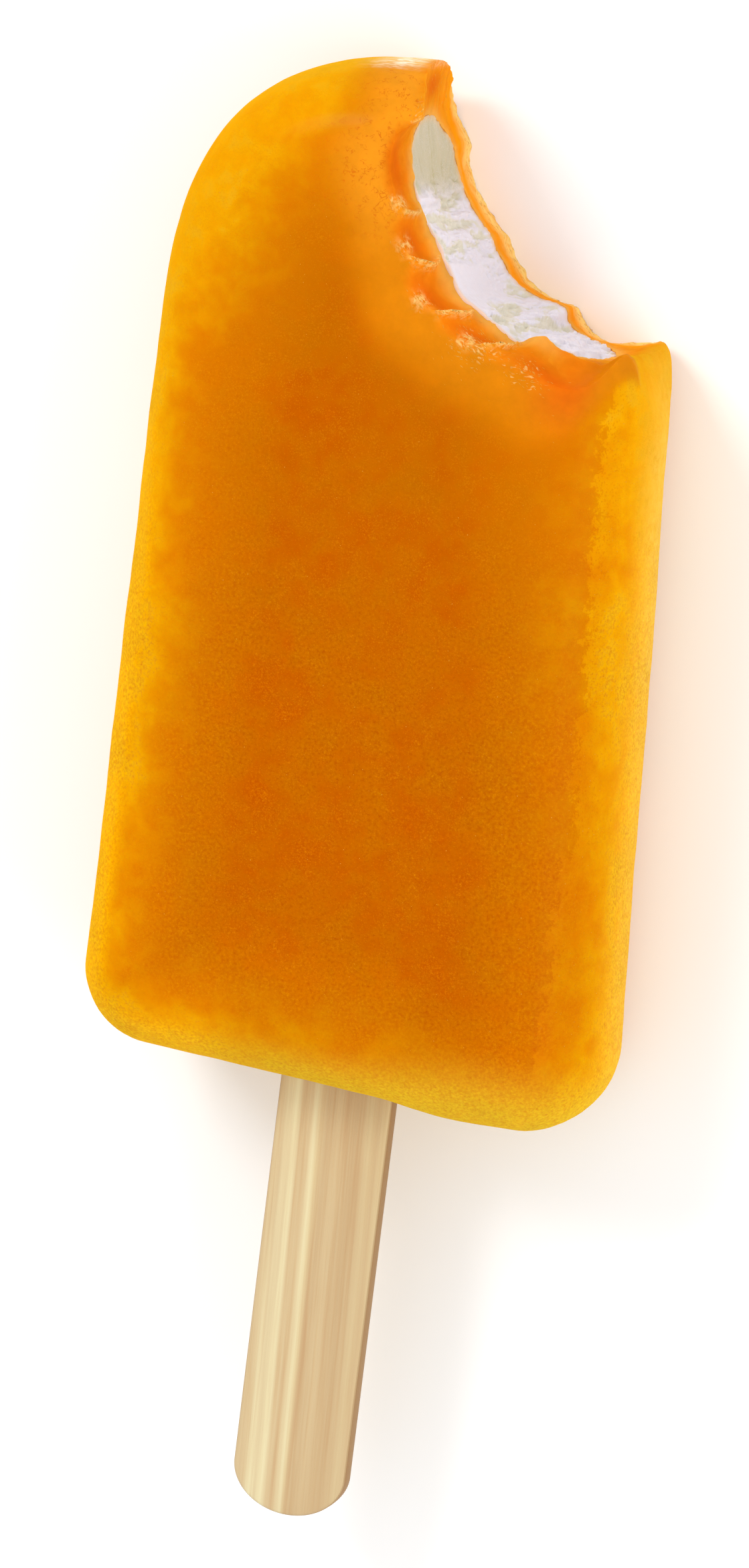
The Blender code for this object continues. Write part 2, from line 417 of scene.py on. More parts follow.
cream = {
    # thin flakes that run through the bite: width, length, drop, seed; strands run along it near the tip
    "flakes": ((0.95, 3.8, 0.30, 3.1), (0.42, 2.0, 0.12, 17.7)),
    "strands": ((0.95, 5.0, 0.14, 8.0), (0.36, 2.6, 0.07, 28.0)),
    "fine": (0.35, 0.022),
    "radius": 22.0,
    # hollows, and lumps below 0: degrees, height, half length along the bite, half width through it, depth
    "spots": [
        (203.2, -2.2, 0.50, 2.6, 0.24), (201.8, -5.6, 0.45, 1.4, 0.20), (208.6, -3.0, 0.60, 3.0, 0.20),
        (214.5, 3.8, 0.35, 1.4, 0.20), (213.1, -4.4, 0.50, 1.3, 0.22), (207.0, 5.0, 0.80, 1.5, 0.20),
        (213.2, 5.8, 0.55, 1.0, 0.18), (229.5, 1.2, 0.65, 2.2, 0.22), (232.8, -0.2, 0.80, 2.2, 0.26),
        (234.8, 3.5, 0.80, 2.4, 0.24), (238.5, 2.5, 0.55, 1.6, 0.22), (239.2, -2.2, 0.80, 3.6, 0.15),
        (202.2, 3.8, 0.95, 3.2, -0.32), (247.5, -1.2, 1.10, 4.5, -0.30), (253.5, 0.0, 1.20, 5.0, -0.34),
        (243.3, 2.5, 0.60, 4.0, -0.14), (222.5, 2.0, 2.20, 5.0, -0.10),
    ],
}


def creamLayers(degrees, z, base):
    # torn ice cream; above 0 is deeper
    angle, across = degrees.ravel(), z.ravel()
    run = angle * math.pi / 180 * cream["radius"]
    flat = np.zeros(angle.size)
    wobble = noiseAt(np.stack([run / 0.7, across / 1.1, flat], 1), 1.0, 61.0)
    fineWobble = noiseAt(np.stack([run / 0.28, across / 0.4, flat], 1), 1.0, 71.0)
    strandy = fall(angle, 195.0, 199.5)
    calm = fade(angle, 216.0, 220.0) * fall(angle, 229.0, 233.0) * fade(across, -6.0, 0.0)
    skewed = run + 0.25 * across * fade(angle, 222.0, 232.0)
    torn = np.zeros(angle.size)
    for width, length, drop, seed in cream["flakes"]:
        level = noiseAt(np.stack([skewed / width, across / length, flat], 1), 1.0, seed) + 0.25 * wobble
        # steep on one side and gentle on the other, as a flake lies on the next
        saw = (level * 2.2) % 1.0
        torn += drop * (level + 0.7 * (fade(saw, 0.0, 0.22) - saw))
    fan = across / (0.45 + 0.55 * np.clip((200 - angle) / 16, 0.0, 1.0))
    strands = np.zeros(angle.size)
    for width, length, drop, seed in cream["strands"]:
        strands += noiseAt(np.stack([run / length, fan / width, flat], 1), 1.0, seed) * drop
    height = torn * (1 - strandy) * (1 - 0.85 * calm) + strands * (0.1 + 0.9 * strandy)
    for middle, through, halfRun, halfWidth, deep in cream["spots"]:
        aside = (angle - middle) * math.pi / 180 * cream["radius"]
        away = np.hypot(aside / halfRun, (across - through) / halfWidth)
        away = away + 0.30 * wobble + 0.16 * fineWobble
        height += deep * fall(away, 0.70, 1.12 if deep > 0 else 1.5)
    height += lumpsAt(bitePlace(degrees, base, z).reshape(-1, 3), cream["fine"], 5.0)
    edge = 1 - 0.6 * fade(np.abs(across), 6.0, 7.4)
    return (height * edge).reshape(degrees.shape)


def biteCutter(name, zSteps, degreeStep, relief):
    # the bitten-off volume: a fine grid for the bitten face, closed far outside the body
    degrees = np.arange(bite["cutFrom"], bite["cutTo"], degreeStep)
    gridDegrees, gridZ = np.meshgrid(degrees, zSteps)
    base = biteRadius(gridDegrees, gridZ)
    depth = relief(gridDegrees, gridZ, base)
    face = bitePlace(gridDegrees, base + depth, gridZ)
    verts, rings = [], []
    cornerX, cornerY = bite["farCorner"][0], bite["farCorner"][1] + body["footY"]
    for row, z in zip(face, zSteps + body["middleZ"]):
        loop = [tuple(p) for p in row]
        loop += [(cornerX, row[-1][1], z), (cornerX, cornerY, z), (row[0][0], cornerY, z)]
        rings.append(list(range(len(verts), len(verts) + len(loop))))
        verts += loop
    faces = ringSkin(rings)
    faces += [tuple(reversed(rings[0])), tuple(rings[-1])]
    mesh = meshFrom(name, verts, faces)
    turnOutward(mesh)
    return objectFrom(name, mesh)


def spacedZ(parts):
    # heights from the back to the front, as (start, end, step) stretches
    out = []
    for start, end, step in parts:
        out.append(np.linspace(start, end, max(round((end - start) / step), 1), endpoint=False))
    return np.concatenate(out + [[parts[-1][1]]])


def subtract(target, cutter):
    modifier = target.modifiers.new("cut", "BOOLEAN")
    modifier.operation = "DIFFERENCE"
    modifier.solver = "MANIFOLD"
    modifier.object = cutter


# The stick: one grid wrapped round it by a rule, in Geometry Nodes

stick = {
    "length": 114.0,
    "shown": 41.7,
    "width": 11.0,
    "thickness": 2.2,
    "roundEnd": 4.4,
    "softEdge": 0.4,
    "turn": math.radians(-1.55),
    "sidestep": -0.5,
    "aroundSteps": 130,
    "overSteps": 17,
    "mergeDistance": 1e-3,
    "slotGrow": -0.03,       # how much larger the slot is than the stick
}


def put(tree, kind, inputs=None, **settings):
    node = tree.nodes.new(kind)
    for key, value in settings.items():
        setattr(node, key, value)
    for key, value in (inputs or {}).items():
        if isinstance(value, bpy.types.NodeSocket):
            tree.links.new(value, node.inputs[key])
        else:
            node.inputs[key].default_value = value
    return node


def treeOf(*values):
    return next(v.id_data for v in values if isinstance(v, bpy.types.NodeSocket))


def maths(operation, *values):
    return put(treeOf(*values), "ShaderNodeMath", dict(enumerate(values)), operation=operation).outputs[0]


def times(first, *others):
    for value in others:
        first = maths("MULTIPLY", first, value)
    return first


def plus(first, *others):
    for value in others:
        first = maths("ADD", first, value)
    return first


def minus(first, second):
    return maths("SUBTRACT", first, second)


def flipped(value):
    return minus(1.0, value)


def swung(value, amount):
    # a value from 0 to 1, made to swing by half of amount either way
    return times(minus(value, 0.5), amount)


def newNodesTree(name, sockets):
    # sockets: (name, kind, default) for the tree's named inputs
    tree = bpy.data.node_groups.new(name, "GeometryNodeTree")
    tree.interface.new_socket("Geometry", in_out="INPUT", socket_type="NodeSocketGeometry")
    for label, kind, value in sockets:
        socket = tree.interface.new_socket(label, in_out="INPUT", socket_type=kind)
        if value is not None:
            socket.default_value = value
    tree.interface.new_socket("Geometry", in_out="OUTPUT", socket_type="NodeSocketGeometry")
    return tree, tree.nodes.new("NodeGroupInput"), tree.nodes.new("NodeGroupOutput")


def endTree(tree, out, geometry, material):
    real = put(tree, "GeometryNodeRealizeInstances", {0: geometry})
    coated = put(tree, "GeometryNodeSetMaterial", {"Geometry": real.outputs[0], "Material": material})
    tree.links.new(coated.outputs[0], out.inputs[0])
    return tree


def growNodes(made, tree, values):
    modifier = made.modifiers.new(tree.name, "NODES")
    modifier.node_group = tree
    for item in tree.interface.items_tree:
        if item.item_type == "SOCKET" and item.in_out == "INPUT" and item.name in values:
            modifier[item.identifier] = values[item.name]
    return bakeMesh(made)


def stickTree():
    sockets = [(n, "NodeSocketFloat", 1.0) for n in
               ("Length", "Width", "Thickness", "Round End", "Soft Edge")]
    sockets += [("Around", "NodeSocketInt", 40), ("Over", "NodeSocketInt", 9),
                ("Material", "NodeSocketMaterial", None)]
    tree, given, out = newNodesTree("flatStick", sockets)
    side = given.outputs
    grid = put(tree, "GeometryNodeMeshGrid", {"Size X": 1.0, "Size Y": 1.0,
                                              "Vertices X": side["Around"], "Vertices Y": side["Over"]})
    place = put(tree, "ShaderNodeSeparateXYZ", {0: tree.nodes.new("GeometryNodeInputPosition").outputs[0]})
    u = plus(place.outputs["X"], 0.5)
    v = place.outputs["Y"]
    # over the edge: v runs -0.5 to 0.5 from the underside's spine to the top's
    upward = maths("SIGN", v)
    over = times(maths("ABSOLUTE", v), 2.0)
    turnedShare = maths("MINIMUM", maths("DIVIDE", over, 0.5), 1.0)
    turnOver = times(turnedShare, math.pi / 2)
    soft = side["Soft Edge"]
    drop = times(soft, flipped(maths("SINE", turnOver)))
    half = times(side["Thickness"], 0.5)
    rise = times(upward, minus(half, drop))
    rolled = times(soft, flipped(maths("COSINE", turnOver)))
    flat = maths("MAXIMUM", maths("DIVIDE", minus(over, 0.5), 0.5), 0.0)
    halfWidth = times(side["Width"], 0.5)
    room = minus(halfWidth, soft)
    inset = plus(rolled, times(flat, room))
    across = minus(halfWidth, inset)
    # round the outline: u runs over both round ends, and the straight sides lie between them
    angle = times(u, 2 * math.pi)
    x = times(across, maths("COSINE", angle))
    swing = maths("SINE", angle)
    endSide = maths("SIGN", plus(swing, 1e-5))
    share = maths("DIVIDE", across, halfWidth)
    reach = times(side["Round End"], share, swing)
    straight = minus(times(side["Length"], 0.5), side["Round End"])
    y = plus(reach, times(endSide, straight))
    moved = put(tree, "ShaderNodeCombineXYZ", {"X": x, "Y": y, "Z": rise})
    wrapped = put(tree, "GeometryNodeSetPosition", {"Geometry": grid.outputs["Mesh"],
                                                    "Position": moved.outputs[0]})
    merged = put(tree, "GeometryNodeMergeByDistance", {"Geometry": wrapped.outputs[0],
                                                         "Distance": stick["mergeDistance"]})
    return endTree(tree, out, merged.outputs[0], side["Material"])


def toFrame(made, name):
    # millimetres to the frame's metres, and the piece's own name
    setPlaces(made.data, vertexPlaces(made.data) * mm)
    made.name = name
    made.data.name = name
    made.data.shade_smooth()
    return made


def makeStick(name, grow, material):
    start = objectFrom(name, bpy.data.meshes.new(name))
    made = growNodes(start, stickTree(), {
        "Length": stick["length"] + 2 * grow,
        "Width": stick["width"] + 2 * grow,
        "Thickness": stick["thickness"] + 2 * grow,
        "Round End": stick["roundEnd"] + grow,
        "Soft Edge": stick["softEdge"],
        "Around": stick["aroundSteps"] + 1,
        "Over": stick["overSteps"],
        "Material": material,
    })
    places = vertexPlaces(made.data)
    places[:, 1] += stick["length"] / 2 - stick["shown"]
    turned = places @ np.array(Matrix.Rotation(stick["turn"], 3, "Z")).T
    setPlaces(made.data, turned + (stick["sidestep"], body["footY"], body["middleZ"]))
    turnOutward(made.data)
    return made


# Where a point of the body lies: how deep inside the outline, and how far from the core

outlineDense = bodyOutline(0.0, 0.08)
outlineTree = kdtree.KDTree(len(outlineDense))
for number, point in enumerate(outlineDense):
    outlineTree.insert((point[0], point[1] + body["footY"], 0.0), number)
outlineTree.balance()


def depthInside(places):
    return np.array([outlineTree.find((p[0], p[1], 0.0))[2] for p in places])


def gapToCore(depth, z):
    # about how far a point is outside the core's surface, in millimetres; inside it is below 0
    across = np.maximum(body["wall"] + body["coreRoll"] - depth, 0.0) / body["coreRoll"]
    up = np.abs(z) / (body["coreThickness"] / 2)
    power = body["edgePower"]
    return ((across ** power + up ** power) ** (1 / power) - 1) * 7.25


def polar(places):
    dx = places[:, 0] - bite["middle"][0]
    dy = places[:, 1] - body["footY"] - bite["middle"][1]
    return np.degrees(np.arctan2(dy, dx)) % 360, np.hypot(dx, dy)


unevenness = {
    "wide": (13.0, 0.16),        # lump size and height
    "narrow": (4.5, 0.07),
    "small": (1.6, 0.025),
    "nearBite": (1.9, 0.09),
    "dip": 0.55,                 # how far the front sinks where it meets the bite
    "drip": (11.5, 4.2, 0.45),   # a run of ice at the foot: where across, how wide, how far out
}


def unevenSkin(mesh):
    places = vertexPlaces(mesh)
    normals = np.array([v.normal[:] for v in mesh.vertices])
    push = np.zeros(len(places))
    for lumps in (unevenness["wide"], unevenness["narrow"], unevenness["small"]):
        push += lumpsAt(places, lumps, lumps[0] * 3.3)
    degrees, radius = polar(places)
    fromRim = radius - rim("front", degrees)
    push += lumpsAt(places, unevenness["nearBite"], 51.0) * fall(fromRim, 0.0, 7.0)
    soft = 1.1 + 1.1 * hump(degrees, 258.0, 9.0) + 0.7 * hump(degrees, 193.0, 9.0)
    dip = unevenness["dip"] * soft * np.exp(-(np.maximum(fromRim, 0.0) / soft) ** 2)
    push -= dip * fade(places[:, 2] - body["middleZ"], 4.0, 9.0)
    x, wide, out = unevenness["drip"]
    foot = fall(places[:, 1] - body["footY"], -1.0, 3.0)
    push += out * hump(places[:, 0], x, wide) * foot
    flat = fade(3.0 - places[:, 2], 0.0, 3.0)       # it rests on its back
    push -= np.maximum(push, 0.0) * flat * (normals[:, 2] < -0.5)
    setPlaces(mesh, places + normals * push[:, None])


def makeShell(slotCutter):
    made = objectFrom("shell", slabMesh("shell", 0.0, body["thickness"], body["edgeRoll"],
                                        body["shellSpacing"], body["shellRollSteps"]))
    unevenSkin(made.data)
    cavity = objectFrom("cavity", slabMesh("cavity", body["wall"], body["coreThickness"],
                                           body["coreRoll"], body["coreSpacing"],
                                           body["cavityRollSteps"]))
    bitten = biteCutter("bitten", spacedZ(bite["iceSteps"]), bite["iceDegrees"], iceCrags)
    for cutter in (cavity, bitten, slotCutter):
        subtract(made, cutter)
    bakeMesh(made)
    dropObject(cavity)
    dropObject(bitten)
    print("fruit ice shell:", len(made.data.polygons), "faces")
    return made


def makeCore(slotCutter):
    sunk = body["coreBite"]
    made = objectFrom("core", slabMesh("core", body["wall"] - sunk, body["coreThickness"] + 2 * sunk,
                                       body["coreRoll"], body["coreSpacing"], body["coreRollSteps"]))
    bitten = biteCutter("bittenCore", spacedZ(bite["creamSteps"]), bite["creamDegrees"], creamLayers)
    for cutter in (bitten, slotCutter):
        subtract(made, cutter)
    bakeMesh(made)
    dropObject(bitten)
    print("ice-cream core:", len(made.data.polygons), "faces")
    return made


def crestOf(degrees, t, beyond):
    return ridgeMask(degrees, t) * fall(beyond, 0.1, 0.6)


def bandSide(x, height):
    # 0.5 on the border of the golden band, and 0 and 1 at 5 mm left and right of it
    heights, places = np.array(iceLooks["bandEdge"]).T
    return 0.5 + (x - np.interp(height, heights, places)) / 10.0


def maskShell(mesh):
    places = vertexPlaces(mesh)
    depth = depthInside(places)
    height = places[:, 1] - body["footY"]
    x, z = places[:, 0], places[:, 2] - body["middleZ"]
    degrees, radius = polar(places)
    surface = biteRadius(degrees, np.clip(z, -12.0, 12.0))
    t = (z - bite["nearZ"]) / (bite["frontZ"] - bite["nearZ"])
    beyond = radius - surface
    front = fade(z, 2.0, 7.0)
    arch = fade(height, 58.0, 80.0) * fall(x, -9.0, 3.0)
    inArch = np.minimum(depth, 1.5) + np.maximum(depth - 5.5, 0.0)
    # painted light through the ice: thin ice is painted lighter and more golden. The sides are thin ice too,
    # but less so to the front, and low on the right
    rightSide = fade(x, 6.0, 12.0)
    lowSide = fall(height, 15.0, 72.0)
    aboveFoot = height + body["footSlant"] * x
    lowSide = lowSide * rightSide * fade(aboveFoot, 3.0, 14.0)
    fromSide = (2.0 * fade(z, -2.0, 10.0) + 4.4 * lowSide * fade(z, -1.0, 9.0)) * (1 - 0.85 * arch)
    # painted light: the low left is painted lighter still, where the lamps light it less
    lowLeft = fall(height, 42.0, 84.0) * fall(x, -12.0, -6.0)
    through = depth * (1 - arch) + arch * inArch - 1.3 * fall(z, -9.0, -2.0)
    through = np.maximum(through, 0.0) + fromSide - 5.8 * lowLeft * np.exp(-(depth / 8.6) ** 2)
    setMask(mesh, "depth", np.minimum(through / iceLooks["deepest"], 0.88))
    # painted glow: the thin left side and the foot are painted brighter, as light shines through them
    thinSide = np.maximum(fall(x, -12.0, -6.0), 0.6 * fall(aboveFoot, 2.0, 8.0))
    glow = np.exp(-depth / 2.5) * thinSide
    setMask(mesh, "glow", glow * (1 - arch))
    # pale sides: frost, and painted sheen where the sides are seen edge-on
    paleSide = fall(depth, 1.0, 4.0) * fall(z, -6.5, 6.5) * (1 - arch)
    paleSide = paleSide * (1 - 0.8 * fade(height, 60.0, 70.0)) * (0.6 + 0.4 * fade(height, 30.0, 50.0))
    setMask(mesh, "paleSide", paleSide)
    onCut = fall(beyond, 0.15, 0.75)
    inside = fall(degrees, 262.0, 267.5)
    onCut = onCut * (1 - fade(degrees, 257.5, 263.5) * front)
    setMask(mesh, "cut", onCut * inside)
    # painted light: the thin back rim of the bite is painted pale and bright, as light comes through it
    setMask(mesh, "backRimLight", onCut * inside * fade(-z, 8.6, 11.4))
    # painted light: the back half of the bitten face, which lies in shade, is painted brighter orange
    setMask(mesh, "farCutLight", onCut * inside * fade(-z, 6.8, 8.2))
    setMask(mesh, "frost", hump(x, -2.6, 2.0) * fall(depth, 0.25, 0.9) * (height > 80) * (1 - onCut * 0.6))
    reach = np.interp(degrees, *np.array(iceLooks["wetReach"]).T)
    fromRim = radius - rim("front", degrees)
    wet = fall(fromRim / reach, 0.0, 1.0) * fade(z, 3.0, 8.0)
    setMask(mesh, "wet", wet)
    # crystals are coarse low on the front, and there are none on the wet ice
    low = fall(height, 22.0, 60.0)
    setMask(mesh, "coarse", fade(fromRim, 7.0, 19.0) * (1 - 0.7 * arch) * (0.5 + 0.9 * low))
    # pale torn slivers: on the crests, beside the tooth marks, down the tip and on the far rim
    aside = np.abs(fromRim) + 0.5 * np.maximum(11.0 - z, 0.0)
    crest = crestOf(degrees, t, beyond)
    # each crest turns up along the rim, which makes it a U
    rimCrest = np.maximum.reduce([hump(degrees, r[1] - 1.3, 1.5) for r in bite["ridges"][1:]])
    crest = np.maximum(crest, rimCrest * hump(aside, 0.25, 0.35))
    slivers = np.maximum.reduce([
        crest,
        0.7 * hump(degrees, 237.0, 4.5) * hump(aside, 0.0, 1.6),
        0.5 * hump(degrees, 249.0, 5.0) * hump(aside, 0.0, 1.3),
        0.7 * fall(degrees, 181.0, 186.0) * hump(aside, 0.0, 0.9),
        0.12 * fall(degrees, 176.0, 186.0) * onCut * fade(-z, -4.0, 6.0),
        0.25 * onCut * inside * fade(-z, 9.0, 11.0),
    ]) * inside
    setMask(mesh, "slivers", slivers)
    run = np.radians(degrees) * bite["radius"]
    setVectors(mesh, "sweep", np.stack([run, radius - z, np.zeros(len(z))], 1))
    along = np.radians(degrees)
    setVectors(mesh, "pull", np.stack([-np.sin(along), np.cos(along), np.zeros(len(z))], 1))
    # redder in the tooth hollows, on the slope by the knob and in the middle of the tip's cut: the ice's own
    # colour, with painted shade in the hollows
    red = hollowMask(degrees, t) * fall(beyond, 0.0, 0.9)
    soft = 0.85 * hump(degrees, 259.0, 7.0) * hump(fromRim, -0.1, 2.9) * front
    tipMiddle = 0.95 * onCut * hump(z, 0.8, 4.2) * fall(degrees, 176.0, 181.0) * fade(depth, 0.3, 2.0)
    setMask(mesh, "red", np.maximum(np.maximum(red, soft), tipMiddle) * inside)
    setMask(mesh, "crest", crest)
    core = hump(gapToCore(depth, z), 0.0, 0.75) * fall(beyond, 0.1, 0.4)
    setMask(mesh, "coreEdge", core)
    # painted light: the thin foot is painted lighter and yellower, as light comes through it and the lamps
    # light it less
    foot = fall(aboveFoot / (1 + 0.5 * fade(x, 0.0, 18.0)), 1.0, 6.0)
    setMask(mesh, "foot", foot * (0.4 + 0.6 * fade(x, -14.0, 0.0)))
    ended = fade(height, 4.0, 9.0) * fall(height, 68.0, 71.0)
    band = np.clip(0.5 + (bandSide(x, height) - 0.5) / np.maximum(ended * front, 0.02), 0.0, 1.0)
    setMask(mesh, "band", band)
    setMask(mesh, "grainy", 0.15 + 0.85 * fade(band, 0.5, 0.62) * front)
    setMask(mesh, "wrinkled", 0.12 + 0.88 * fall(degrees, 198.0, 214.0))


def maskCore(mesh):
    places = vertexPlaces(mesh)
    depth = depthInside(places)
    z = places[:, 2] - body["middleZ"]
    degrees, radius = polar(places)
    proud = biteRadius(degrees, z) - radius
    setMask(mesh, "proud", 0.5 + proud / 0.9)
    plateau = hump(degrees, 202.0, 3.0) * fade(z, 0.0, 3.0)
    setMask(mesh, "low", np.maximum(fade(degrees, 196.0, 206.0), plateau))
    # where the core meets the fruit ice, for the painted glow of orange light along its rim
    setMask(mesh, "rimGlow", fade(gapToCore(depth, z), -1.1, 0.05))


# Materials. Colours are given as the photo-like red, green, blue from 0 to 255

light = {
    "level": 1.24,           # how bright a white surface facing up is lit; colours are divided by it
}


def paint(red, green, blue):
    out = []
    for value in (red, green, blue):
        value = value / 255
        linear = value / 12.92 if value <= 0.04045 else ((value + 0.055) / 1.055) ** 2.4
        out.append(min(linear / light["level"], 1.0))
    return (*out, 1.0)


def painted(looks):
    return {key: paint(*value) for key, value in looks.items() if isinstance(value, tuple)}


def newMaterial(name, **sockets):
    material = bpy.data.materials.new(name)
    material.use_nodes = True
    tree = material.node_tree
    shader = tree.nodes["Principled BSDF"]
    for key, value in sockets.items():
        shader.inputs[key.replace("_", " ")].default_value = value
    return material, tree, shader


def newEffect(name, inputs, outputs):
    tree = bpy.data.node_groups.new(name, "ShaderNodeTree")
    for label, kind in inputs:
        tree.interface.new_socket(label, in_out="INPUT", socket_type=kind)
    for label, kind in outputs:
        tree.interface.new_socket(label, in_out="OUTPUT", socket_type=kind)
    return tree, tree.nodes.new("NodeGroupInput").outputs, tree.nodes.new("NodeGroupOutput").inputs


def useEffect(tree, effect, **inputs):
    node = put(tree, "ShaderNodeGroup", node_tree=effect)
    for key, value in inputs.items():
        if isinstance(value, bpy.types.NodeSocket):
            tree.links.new(value, node.inputs[key])
        else:
            node.inputs[key].default_value = value
    return node


def feed(tree, shader, **values):
    for key, value in values.items():
        tree.links.new(value, shader.inputs[key.replace("_", " ")])


def addRelief(tree, shader, height, strength, distance):
    bump = put(tree, "ShaderNodeBump", {"Strength": strength, "Distance": distance, "Height": height})
    feed(tree, shader, Normal=bump.outputs[0])


def mixed(factor, first, second, blend="MIX"):
    tree = treeOf(factor, first, second)
    node = put(tree, "ShaderNodeMix", {0: factor, 6: first, 7: second}, data_type="RGBA", blend_type=blend)
    return node.outputs[2]


def ramped(factor, stops):
    node = put(treeOf(factor), "ShaderNodeValToRGB", {0: factor})
    elements = node.color_ramp.elements
    while len(elements) < len(stops):
        elements.new(0.5)
    for element, (at, colour) in zip(elements, stops):
        element.position = at
        element.color = colour
    return node.outputs[0]


def stepped(value, start, end, low=0.0, high=1.0):
    node = put(treeOf(value), "ShaderNodeMapRange", {0: value, 1: start, 2: end, 3: low, 4: high},
               interpolation_type="SMOOTHSTEP")
    return node.outputs[0]


def mask(tree, name, amount=None):
    value = put(tree, "ShaderNodeAttribute", attribute_name=name).outputs["Fac"]
    return value if amount is None else times(value, amount)


def inMillimetres(tree, turn=0.0, stretch=(1.0, 1.0, 1.0)):
    place = tree.nodes.new("ShaderNodeTexCoord").outputs["Object"]
    scale = tuple(1000.0 * s for s in stretch)
    mapping = put(tree, "ShaderNodeMapping", {"Vector": place, "Rotation": (0.0, 0.0, turn), "Scale": scale})
    return mapping.outputs[0]


def noisy(vector, size, detail=2.0, roughness=0.5, distortion=0.0):
    scale = maths("DIVIDE", 1.0, size) if isinstance(size, bpy.types.NodeSocket) else 1.0 / size
    return put(treeOf(vector), "ShaderNodeTexNoise", {
        "Vector": vector,
        "Scale": scale,
        "Detail": detail,
        "Roughness": roughness,
        "Distortion": distortion,
    }).outputs[0]


def makeSoftBlotch():
    # broad, soft cloudiness, about 0 to 1
    tree, given, out = newEffect("softBlotch", [("Vector", "NodeSocketVector"), ("Size", "NodeSocketFloat")],
                                 [("Value", "NodeSocketFloat")])
    wide = noisy(given["Vector"], given["Size"], 3.0, 0.55, 0.3)
    tree.links.new(stepped(wide, 0.28, 0.72), out["Value"])
    return tree


def makeFrostGrain():
    # fine crystals in uneven patches: Mask is where they show, Height is their relief
    tree, given, out = newEffect("frostGrain", [("Vector", "NodeSocketVector"), ("Size", "NodeSocketFloat"),
                                                ("Amount", "NodeSocketFloat")],
                                 [("Mask", "NodeSocketFloat"), ("Height", "NodeSocketFloat")])
    size = given["Size"]
    fine = noisy(given["Vector"], size, 2.0, 0.6)
    patches = noisy(given["Vector"], times(size, 14.0), 2.0, 0.5)
    cells = put(tree, "ShaderNodeTexVoronoi", {"Vector": given["Vector"],
                                               "Scale": maths("DIVIDE", 1.0, size)})
    dots = stepped(cells.outputs["Distance"], 0.42, 0.12)
    chance = put(tree, "ShaderNodeSeparateColor", {0: cells.outputs["Color"]}).outputs[0]
    keep = stepped(plus(chance, times(patches, 0.8)), 1.02, 0.84)
    some = times(dots, flipped(keep))
    specks = times(stepped(fine, 0.52, 0.68), stepped(patches, 0.38, 0.6))
    both = maths("MAXIMUM", some, specks)
    tree.links.new(times(both, given["Amount"]), out["Mask"])
    tree.links.new(plus(times(both, 0.7), fine), out["Height"])
    return tree


iceLooks = {
    # where the deep front ends and the golden band along the right side starts: height, across
    "bandEdge": [(6.8, 20.8), (14.1, 21.1), (19.0, 21.0), (28.0, 21.8), (37.0, 21.6), (41.9, 21.5),
                 (55.0, 21.1), (62.1, 21.1), (67.4, 21.1)],
    # painted light through the ice: colour against depth inside the outline, from the thin glowing edge to
    # the deep middle (20 mm)
    "depthColours": [(0.0, (249, 178, 18)), (0.06, (248, 171, 4)),
                     (0.14, (241, 160, 2)), (0.26, (231, 143, 1)), (0.38, (222, 128, 1)),
                     (0.52, (213, 117, 1)), (0.70, (208, 112, 0)), (0.86, (204, 105, 0)),
                     (1.0, (197, 93, 0))],
    "deepest": 20.0,
    # how far the wet zone reaches from the bite's front rim: degrees, millimetres
    "wetReach": [(160, 11.5), (185, 11.0), (205, 9.0), (220, 8.8), (240, 9.2), (255, 8.6), (266, 3.4),
                 (274, 0.8)],
    "paleSide": (252, 203, 88),
    "halo": (227, 131, 3),
    "wet": (224, 131, 4),
    "wetTip": (250, 156, 26),
    "cut": (244, 138, 14),
    "farCutLight": (268, 158, 14),
    "dot": (220, 124, 3),
    "red": (232, 106, 10),
    "crest": (254, 196, 110),
    "backRimLight": (290, 228, 132),
    "frost": (268, 254, 222),
    "coreEdge": (252, 178, 80),
    "foot": (233, 185, 40),
    "fleck": (238, 150, 12),
    "sliver": (255, 204, 122),
    "stroke": (226, 106, 10),
    # lump sizes of the noises
    "grainSize": 0.16,
    "wideSize": 11.0,
    "narrowSize": 2.6,
    "raggedSize": 0.9,
    "speckleSize": 0.3,
    "bandTearSize": 1.9,
    "wrinkleSize": 0.42,
    "streakSize": 0.8,
    "hairSize": 0.17,
    "lumpSize": 1.2,
    # how far the wide and the narrow lumps shift the depth
    "wideShift": 0.26,
    "narrowShift": 0.19,
}


